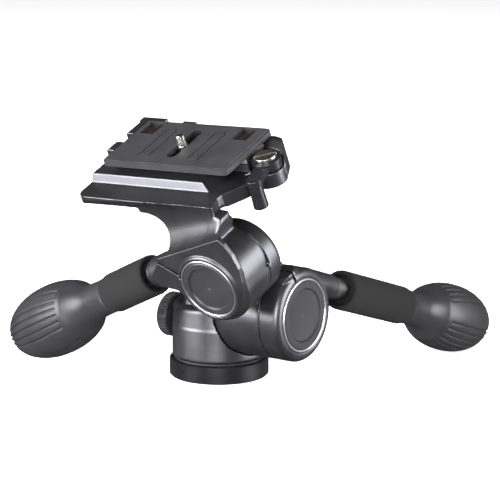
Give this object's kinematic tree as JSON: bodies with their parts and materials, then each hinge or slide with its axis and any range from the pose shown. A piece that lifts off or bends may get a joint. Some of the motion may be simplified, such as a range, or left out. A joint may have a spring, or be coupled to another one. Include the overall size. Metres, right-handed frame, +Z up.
{
  "type": "three way pan tilt head",
  "caption": "Camera tripod head with pan, tilt and side tilt joints, a gooseneck platform, a sliding quick plate with a sprung lever, and foam handles ending in grooved egg shaped knobs.",
  "frame": {"origin": "centre of the base disc's underside, at the mouth of the tripod thread", "axes": "+Z up along the pan axis, +X along the tilt axis towards its round cap, -Y the way the lens points"},
  "size_m": [0.2164, 0.2934, 0.1708],
  "materials": {
    "cast_paint": "satin dark grey painted casting",
    "black_anodised": "black anodised, turned",
    "bright_steel": "turned bright steel",
    "chrome_trim": "polished bright ring",
    "bronze": "plain sintered bush",
    "friction_nylon": "dark nylon",
    "foam": "black closed cell foam",
    "knob_plastic": "satin dark grey moulding",
    "plate_plastic": "black glass filled moulding",
    "lever_black": "black painted die casting",
    "copper_clip": "pinkish metal clip"
  },
  "bodies": {
    "base": {"base_plate": "black_anodised", "base_screws": "bright_steel", "pan_spindle": "bright_steel", "pan_nut": "bright_steel", "friction_ring": "friction_nylon"},
    "pan": {"pan_housing": "cast_paint", "tilt_shaft": "bright_steel", "tilt_end_washer": "bright_steel", "tilt_end_screw": "bright_steel"},
    "pan_lock": {"pan_knob": "knob_plastic", "pan_knob_stem": "bright_steel"},
    "tilt": {"tilt_casting": "cast_paint", "tilt_bush": "bronze", "tilt_clamp": "cast_paint", "tilt_cap": "knob_plastic", "tilt_ring": "chrome_trim", "roll_shaft": "bright_steel", "roll_end_washer": "bright_steel", "roll_end_screw": "bright_steel"},
    "tilt_handle": {"tilt_stem": "bright_steel", "tilt_foam": "foam", "tilt_neck": "knob_plastic", "tilt_egg": "knob_plastic"},
    "roll": {"roll_hub": "cast_paint", "roll_cap": "knob_plastic", "roll_ring": "chrome_trim", "platform": "cast_paint", "lever_boss": "cast_paint", "lever_screw": "bright_steel"},
    "roll_handle": {"roll_stem": "bright_steel", "roll_foam": "foam", "roll_neck": "knob_plastic", "roll_egg": "knob_plastic"},
    "jaw": {"jaw": "bright_steel"},
    "lever": {"lever": "lever_black", "lever_knob": "lever_black"},
    "plate": {"quick_plate": "plate_plastic", "plate_clips": "copper_clip"},
    "screw_slider": {"screw_washer": "bright_steel"},
    "screw": {"camera_screw": "bright_steel"}
  },
  "joints": [
    {"name": "pan_turn", "type": "hinge", "parent": "base", "child": "pan", "pos_m": [0, 0, 0.0112], "axis": [0, 0, 1], "continuous": true},
    {"name": "pan_lock_turn", "type": "hinge", "parent": "pan", "child": "pan_lock", "pos_m": [-0.0307, 0, 0.032], "axis": [-1, 0, 0], "range_deg": [0, 180]},
    {"name": "tilt_turn", "type": "hinge", "parent": "pan", "child": "tilt", "pos_m": [0, 0, 0.0442], "axis": [1, 0, 0], "range_deg": [-53, 66]},
    {"name": "tilt_handle_turn", "type": "hinge", "parent": "tilt", "child": "tilt_handle", "pos_m": [0.055, 0.00621, 0.06353], "axis": [0, 0.9521, -0.3057], "range_deg": [0, 180]},
    {"name": "roll_turn", "type": "hinge", "parent": "tilt", "child": "roll", "pos_m": [0.04, -0.01821, 0.0871], "axis": [0, 0.9205, 0.3907], "range_deg": [-23.25, 91.75]},
    {"name": "roll_handle_turn", "type": "hinge", "parent": "roll", "child": "roll_handle", "pos_m": [0.03171, -0.05965, 0.08722], "axis": [-0.8914, 0.1771, -0.4172], "range_deg": [0, 180]},
    {"name": "lever_turn", "type": "hinge", "parent": "roll", "child": "lever", "pos_m": [0.05606, -0.02932, 0.13758], "axis": [-0.0305, -0.3905, 0.9201], "range_deg": [0, 60], "stiffness_Nm_per_rad": 0.05, "springref_deg": -20.05},
    {"name": "jaw_slide", "type": "slide", "parent": "roll", "child": "jaw", "axis": [0.9995, -0.0119, 0.0281], "range_m": [0, 0.0015]},
    {"name": "plate_slide", "type": "slide", "parent": "roll", "child": "plate", "axis": [0, -0.9205, -0.3907], "range_m": [0, 0.06]},
    {"name": "screw_slide", "type": "slide", "parent": "plate", "child": "screw_slider", "axis": [0, 0.9205, 0.3907], "range_m": [-0.01, 0.015]},
    {"name": "screw_turn", "type": "hinge", "parent": "screw_slider", "child": "screw", "pos_m": [0.00081, -0.03411, 0.13991], "axis": [-0.0305, -0.3905, 0.9201], "continuous": true}
  ],
  "couplings": [
    {"joint": "jaw_slide", "follows": "lever_turn", "m_per_rad": 0.001432}
  ]
}
